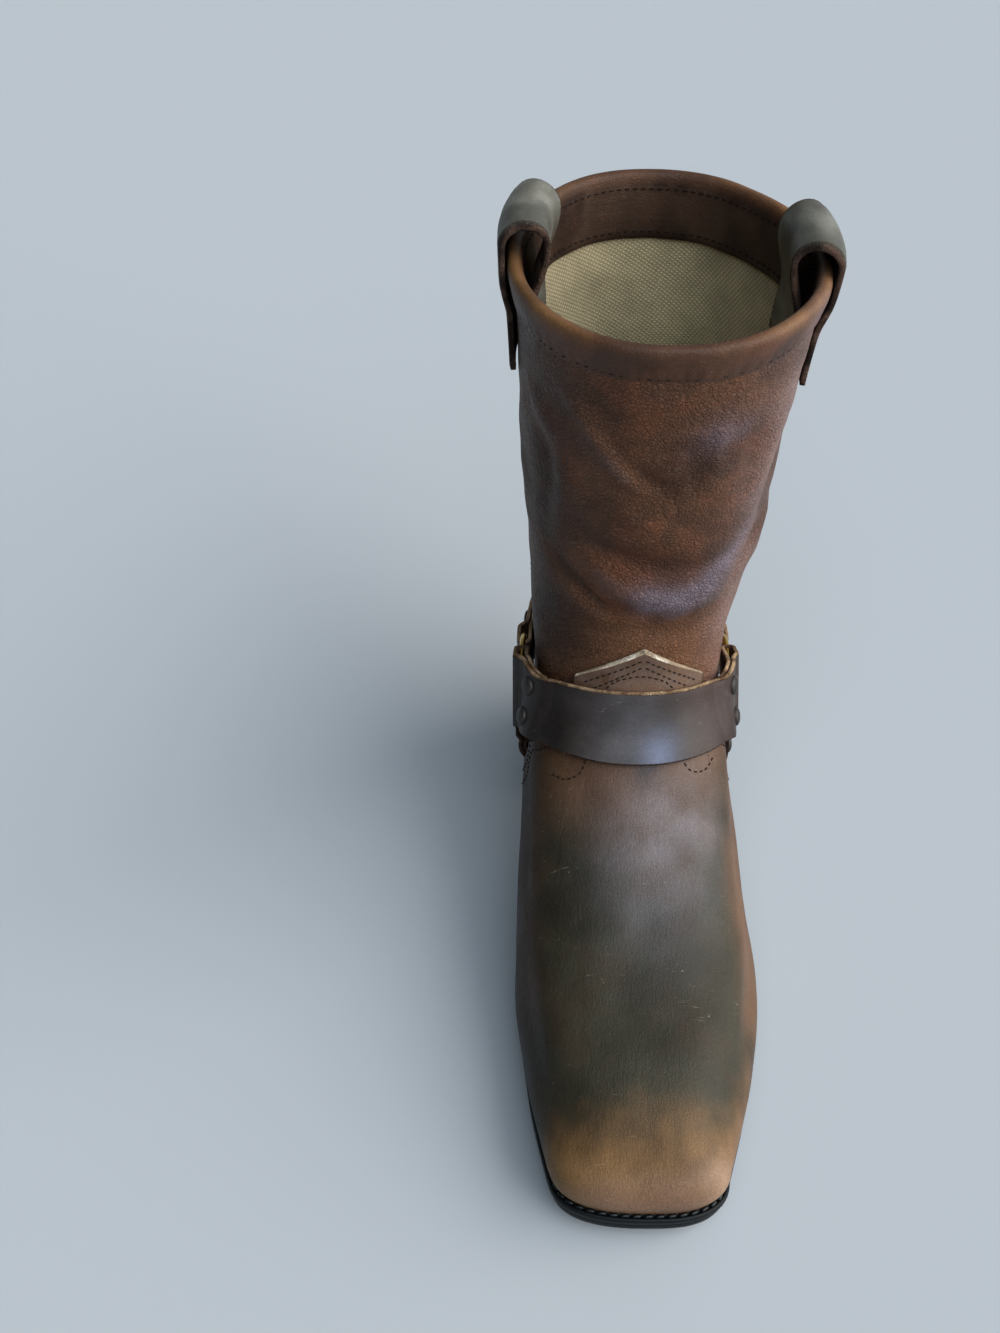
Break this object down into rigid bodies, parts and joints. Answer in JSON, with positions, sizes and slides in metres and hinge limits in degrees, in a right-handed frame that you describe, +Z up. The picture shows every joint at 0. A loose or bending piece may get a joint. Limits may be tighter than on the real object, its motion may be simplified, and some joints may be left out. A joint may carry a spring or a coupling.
{
  "type": "harness boot",
  "caption": "Left pull-on leather harness boot with square toe, block heel, rubber sole, pull straps and riveted straps meeting at brass rings.",
  "frame": {"origin": "on the floor, under the middle of the heel", "axes": "+Z up, -Y towards the toe, +X towards the lateral side of this left boot"},
  "size_m": [0.126, 0.3033, 0.3133],
  "materials": {
    "shaft_leather": "oiled, worn, mottled red-brown",
    "vamp_leather": "oiled and burnished, dark olive brown going to tan at the toe",
    "strap_leather": "dark grey-brown, raw tan edges",
    "binding_leather": "rubbed rolled edge",
    "insole_leather": "matt, natural",
    "sole_rubber": "matt black, stitched welt",
    "brass": "polished wire",
    "dark_metal": "dark blue-grey, worn domes"
  },
  "bodies": {
    "root": {"upper": "shaft_leather", "side_seam_lateral": "shaft_leather", "side_seam_medial": "shaft_leather", "vamp": "vamp_leather", "counter": "vamp_leather", "collar_binding": "binding_leather", "instep_strap": "strap_leather", "heel_strap": "strap_leather", "sole_strap_lateral": "strap_leather", "sole_strap_medial": "strap_leather", "pull_strap_lateral": "strap_leather", "pull_strap_medial": "strap_leather", "outsole": "sole_rubber", "welt": "sole_rubber", "heel_base": "sole_rubber", "heel_lift": "sole_rubber", "insole": "insole_leather", "ring_lateral": "brass", "ring_medial": "brass", "rivet_instep_lateral_1": "dark_metal", "rivet_instep_lateral_2": "dark_metal", "rivet_instep_medial_1": "dark_metal", "rivet_instep_medial_2": "dark_metal", "rivet_heel_lateral_1": "dark_metal", "rivet_heel_lateral_2": "dark_metal", "rivet_heel_medial_1": "dark_metal", "rivet_heel_medial_2": "dark_metal", "rivet_sole_lateral_1": "dark_metal", "rivet_sole_lateral_2": "dark_metal", "rivet_sole_medial_1": "dark_metal", "rivet_sole_medial_2": "dark_metal"}
  },
  "joints": []
}
